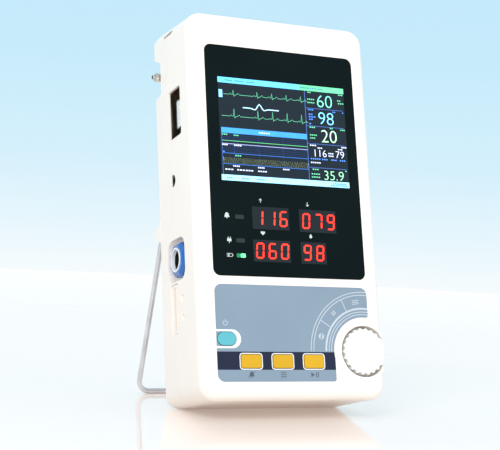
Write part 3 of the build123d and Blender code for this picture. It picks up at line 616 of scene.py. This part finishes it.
FINE_LINE, LABELS_R0, LABELS_R1 = 0.42, 23.2, 30.6
arcs = full_arc(32.2, FINE_LINE) + full_arc(LABELS_R1, FINE_LINE) + full_arc(LABELS_R0, 1.0)
arcs += full_arc(21.4, FINE_LINE) + full_arc(20.0, FINE_LINE)
for spoke_angle in (147, 114):
    arcs += spoke(spoke_angle, LABELS_R0, LABELS_R1, FINE_LINE)
prism("white_arcs", arcs, 0.0, 0.03, INK["arc"])

outlines = []
for key_x in KEY_XS:
    border = round_rect(key_x - 6.3, key_x + 6.3, KEY_Z - 4.1, KEY_Z + 4.1, 1.6)
    outlines += band(border, 0.5, True)
prism("key_borders", outlines, 0.0, 0.04, INK["white"])


def power_tab():
    """The white D-shaped tab behind the power key, as a frame round the key's hole."""
    cx, cz, r, half = -39.1, 31.7, 4.9, 3.8
    outer = arc_points(-36.0, cz, r, -90, 90, 20)
    inner = arc_points(cx + 1.75, cz, half, -90, 90, 20)
    quads = []
    for i in range(len(outer) - 1):
        quads.append([outer[i], outer[i + 1], inner[i + 1], inner[i]])
    quads.append([(LEFT + 0.1, cz - r), outer[0], inner[0], (LEFT + 0.1, cz - half)])
    quads.append([(LEFT + 0.1, cz + half), inner[-1], outer[-1], (LEFT + 0.1, cz + r)])
    return quads


prism("power_tab", power_tab(), 0.0, 0.03, INK["white"])


def at_arc(r, angle, points):
    """Turns a small sign so that it follows the arc at the given angle."""
    a = math.radians(angle)
    cx, cz = KNOB_X + r * math.cos(a), KNOB_Z + r * math.sin(a)
    turn = a - math.pi / 2
    turned = []
    for outline in points:
        turned.append([(cx + x * math.cos(turn) - z * math.sin(turn),
                        cz + x * math.sin(turn) + z * math.cos(turn)) for x, z in outline])
    return turned


menu_sign = [rect(-2.0, 2.0, z, z + 0.35) for z in (-1.1, -0.15, 0.8)]
freeze_sign = [rect(-1.0, -0.4, -1.1, 1.1), rect(0.4, 1.0, -1.1, 1.1)]
print_sign = band([(-1.6, -0.7), (1.6, -0.7), (1.6, 0.5), (-1.6, 0.5)], 0.35, True)
print_sign += [rect(-1.0, 1.0, 0.7, 1.4), rect(-1.0, 1.0, -1.5, -0.9)]
SIGN_R = 26.9
signs = at_arc(SIGN_R, 98, menu_sign) + at_arc(SIGN_R, 130.5, freeze_sign)
signs += at_arc(SIGN_R, 163, print_sign)
signs += ring(-39.6, 40.0, 1.25, 0.35, -230, 50) + [rect(-39.78, -39.42, 40.2, 41.7)]
prism("keypad_signs", signs, 0.0, 0.03, INK["arc"])

foot_signs = bell_sign(KEY_XS[0], 12.3)
foot_signs += band([(KEY_XS[0] - 1.8, 11.6), (KEY_XS[0] + 1.8, 14.9)], 0.35)
foot_signs += [rect(KEY_XS[1] - 1.6, KEY_XS[1] + 1.6, z, z + 0.4) for z in (11.9, 13.0, 14.1)]
foot_signs += [[(KEY_XS[2] - 2.0, 11.8), (KEY_XS[2] + 0.2, 13.1), (KEY_XS[2] - 2.0, 14.4)]]
foot_signs += [rect(KEY_XS[2] + 0.9, KEY_XS[2] + 1.4, 11.8, 14.4),
               rect(KEY_XS[2] + 1.9, KEY_XS[2] + 2.4, 11.8, 14.4)]
prism("foot_signs", foot_signs, 0.0, 0.03, INK["grey"])


# ------------------------------------------------------------ stage, light and camera


BACKDROP_R, BACKDROP_H, BACKDROP_STEPS = 1.6, 1.3, 96


def painted_by_height(name, stops, power):
    """A backdrop paint that runs from white at the floor to pale blue above."""
    mat, tree, shader = new_material(name)
    coords = tree.nodes.new("ShaderNodeTexCoord")
    split = tree.nodes.new("ShaderNodeSeparateXYZ")
    ramp = tree.nodes.new("ShaderNodeValToRGB")
    elements = ramp.color_ramp.elements
    elements[0].position, elements[0].color = stops[0]
    elements[1].position, elements[1].color = stops[-1]
    for position, colour in stops[1:-1]:
        elements.new(position).color = colour
    tree.links.new(coords.outputs["Object"], split.inputs["Vector"])
    tree.links.new(split.outputs["Z"], ramp.inputs["Fac"])
    tree.links.new(ramp.outputs["Color"], shader.inputs["Emission Color"])
    shader.inputs["Emission Strength"].default_value = power
    shader.inputs["Base Color"].default_value = (0.0, 0.0, 0.0, 1.0)
    shader.inputs["Specular IOR Level"].default_value = 0.0
    return mat


def backdrop():
    """A plain round wall, the same from every side."""
    verts, faces = [], []
    for i in range(BACKDROP_STEPS):
        a = 2 * math.pi * i / BACKDROP_STEPS
        x, y = BACKDROP_R * math.cos(a), BACKDROP_R * math.sin(a)
        verts += [(x, y, 0.0), (x, y, BACKDROP_H)]
        j = (i + 1) % BACKDROP_STEPS
        faces.append((2 * i, 2 * i + 1, 2 * j + 1, 2 * j))
    mesh = bpy.data.meshes.new("backdrop")
    mesh.from_pydata(verts, [], faces)
    stops = [(0.0, rgb(246, 252, 254)), (0.09, rgb(231, 246, 253)), (0.21, rgb(213, 240, 252)),
             (0.40, rgb(199, 235, 251)), (1.0, rgb(190, 230, 250))]
    mesh.materials.append(painted_by_height("backdrop_paint", stops, 1.0))
    wall = bpy.data.objects.new("backdrop", mesh)
    bpy.context.scene.collection.objects.link(wall)


def stage_floor():
    """A plain pale floor with a clear sheen."""
    angles = [2 * math.pi * i / BACKDROP_STEPS for i in range(BACKDROP_STEPS)]
    verts = [(BACKDROP_R * math.cos(a), BACKDROP_R * math.sin(a), 0.0) for a in angles]
    mesh = bpy.data.meshes.new("floor")
    mesh.from_pydata(verts, [], [tuple(range(BACKDROP_STEPS))])
    mat, tree, shader = new_material("floor_pale")
    cloud = texture(tree, "ShaderNodeTexNoise", 3.0)
    tone = two_tone(tree, cloud.outputs["Fac"], rgb(226, 216, 210), rgb(229, 219, 213))
    tree.links.new(tone, shader.inputs["Base Color"])
    shader.inputs["Roughness"].default_value = 0.05
    shader.inputs["Specular IOR Level"].default_value = 0.9
    shader.inputs["Emission Color"].default_value = rgb(255, 236, 226)
    shader.inputs["Emission Strength"].default_value = 0.14
    mesh.materials.append(mat)
    floor = bpy.data.objects.new("floor", mesh)
    bpy.context.scene.collection.objects.link(floor)


def soft_light(name, place, aim, size, power):
    """A warm rectangular lamp that isn't mirrored in shiny surfaces."""
    data = bpy.data.lights.new(name, "AREA")
    data.shape = "RECTANGLE"
    data.size, data.size_y = size
    data.energy = power
    data.color = WARM
    lamp = bpy.data.objects.new(name, data)
    bpy.context.scene.collection.objects.link(lamp)
    lamp.location = place
    lamp.visible_glossy = False
    lamp.rotation_euler = (Vector(aim) - Vector(place)).to_track_quat("-Z", "Y").to_euler()


def sky():
    """Even pale light from all round, seen above the backdrop."""
    world = bpy.data.worlds.new("studio")
    bpy.context.scene.world = world
    world.use_nodes = True
    background = world.node_tree.nodes["Background"]
    background.inputs["Color"].default_value = rgb(250, 251, 253)
    background.inputs["Strength"].default_value = 0.75


CAMERA_TARGET = Vector((-0.0064, 0.0, 0.1010))
CAMERA_DISTANCE = 0.7294
CAMERA_AZIMUTH, CAMERA_DOWN, CAMERA_ROLL = 24.37, 0.117, 2.97
LENS, SENSOR = 94.31, 36.0
WARM = (1.0, 0.93, 0.87)


def place_camera():
    """Looks at the front from the left, level and slightly rolled."""
    data = bpy.data.cameras.new("camera")
    data.lens = LENS
    data.sensor_width = SENSOR
    data.clip_start = 0.01
    camera = bpy.data.objects.new("camera", data)
    bpy.context.scene.collection.objects.link(camera)
    azimuth, down = math.radians(CAMERA_AZIMUTH), math.radians(CAMERA_DOWN)
    forward = Vector((math.sin(azimuth) * math.cos(down), math.cos(azimuth) * math.cos(down),
                      -math.sin(down)))
    turn = forward.to_track_quat("-Z", "Y").to_matrix().to_4x4()
    roll = Matrix.Rotation(math.radians(CAMERA_ROLL), 4, "Z")
    place = Matrix.Translation(CAMERA_TARGET - forward * CAMERA_DISTANCE)
    camera.matrix_world = place @ turn @ roll
    bpy.context.scene.camera = camera


stage_floor()
backdrop()
sky()
soft_light("key_light", (-0.75, -0.85, 0.95), (0, 0, 0.1), (0.7, 0.7), 9.0)
soft_light("fill_light", (0.9, -0.7, 0.5), (0, 0, 0.1), (0.8, 0.8), 2.8)
soft_light("top_light", (0.0, 0.3, 1.2), (0, 0, 0.1), (0.9, 0.6), 3.4)
soft_light("low_light", (-0.45, -1.05, 0.14), (0, 0, 0.06), (0.9, 0.24), 3.0)
place_camera()
bpy.context.scene.view_settings.view_transform = "Standard"
